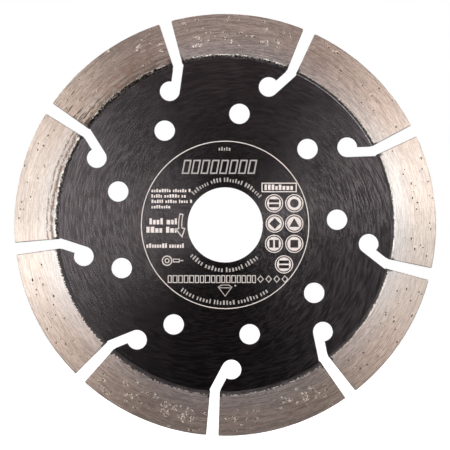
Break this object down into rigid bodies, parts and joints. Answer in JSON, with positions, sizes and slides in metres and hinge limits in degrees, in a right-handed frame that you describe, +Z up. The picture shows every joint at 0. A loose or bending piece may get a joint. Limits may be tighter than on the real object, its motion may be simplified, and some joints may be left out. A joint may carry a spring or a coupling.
{
  "type": "diamond blade",
  "caption": "Segmented diamond cutting blade for an angle grinder: slotted, vented black steel core with diamond segments laser-welded round its rim.",
  "frame": {"origin": "centre of the bore, at mid thickness of the core", "axes": "+Y along the bore axis, from the marked face to the plain face, where the grinder is; +Z up and +X to the right when the marked face is looked at; blade upright like a wheel"},
  "size_m": [0.125, 0.0022, 0.125],
  "materials": {
    "core_lacquer": "thin satin black lacquer over brushed steel",
    "diamond_layer": "side-ground sintered metal bond with diamond grit",
    "foot_metal": "side-ground sintered metal without diamond",
    "weld_metal": "rippled laser weld, partly lacquered over"
  },
  "bodies": {
    "root": {"core": "core_lacquer", "segment_1": "diamond_layer", "segment_foot_1": "foot_metal", "weld_seam_1": "weld_metal", "segment_2": "diamond_layer", "segment_foot_2": "foot_metal", "weld_seam_2": "weld_metal", "segment_3": "diamond_layer", "segment_foot_3": "foot_metal", "weld_seam_3": "weld_metal", "segment_4": "diamond_layer", "segment_foot_4": "foot_metal", "weld_seam_4": "weld_metal", "segment_5": "diamond_layer", "segment_foot_5": "foot_metal", "weld_seam_5": "weld_metal", "segment_6": "diamond_layer", "segment_foot_6": "foot_metal", "weld_seam_6": "weld_metal", "segment_7": "diamond_layer", "segment_foot_7": "foot_metal", "weld_seam_7": "weld_metal", "segment_8": "diamond_layer", "segment_foot_8": "foot_metal", "weld_seam_8": "weld_metal", "segment_9": "diamond_layer", "segment_foot_9": "foot_metal", "weld_seam_9": "weld_metal"}
  },
  "joints": []
}
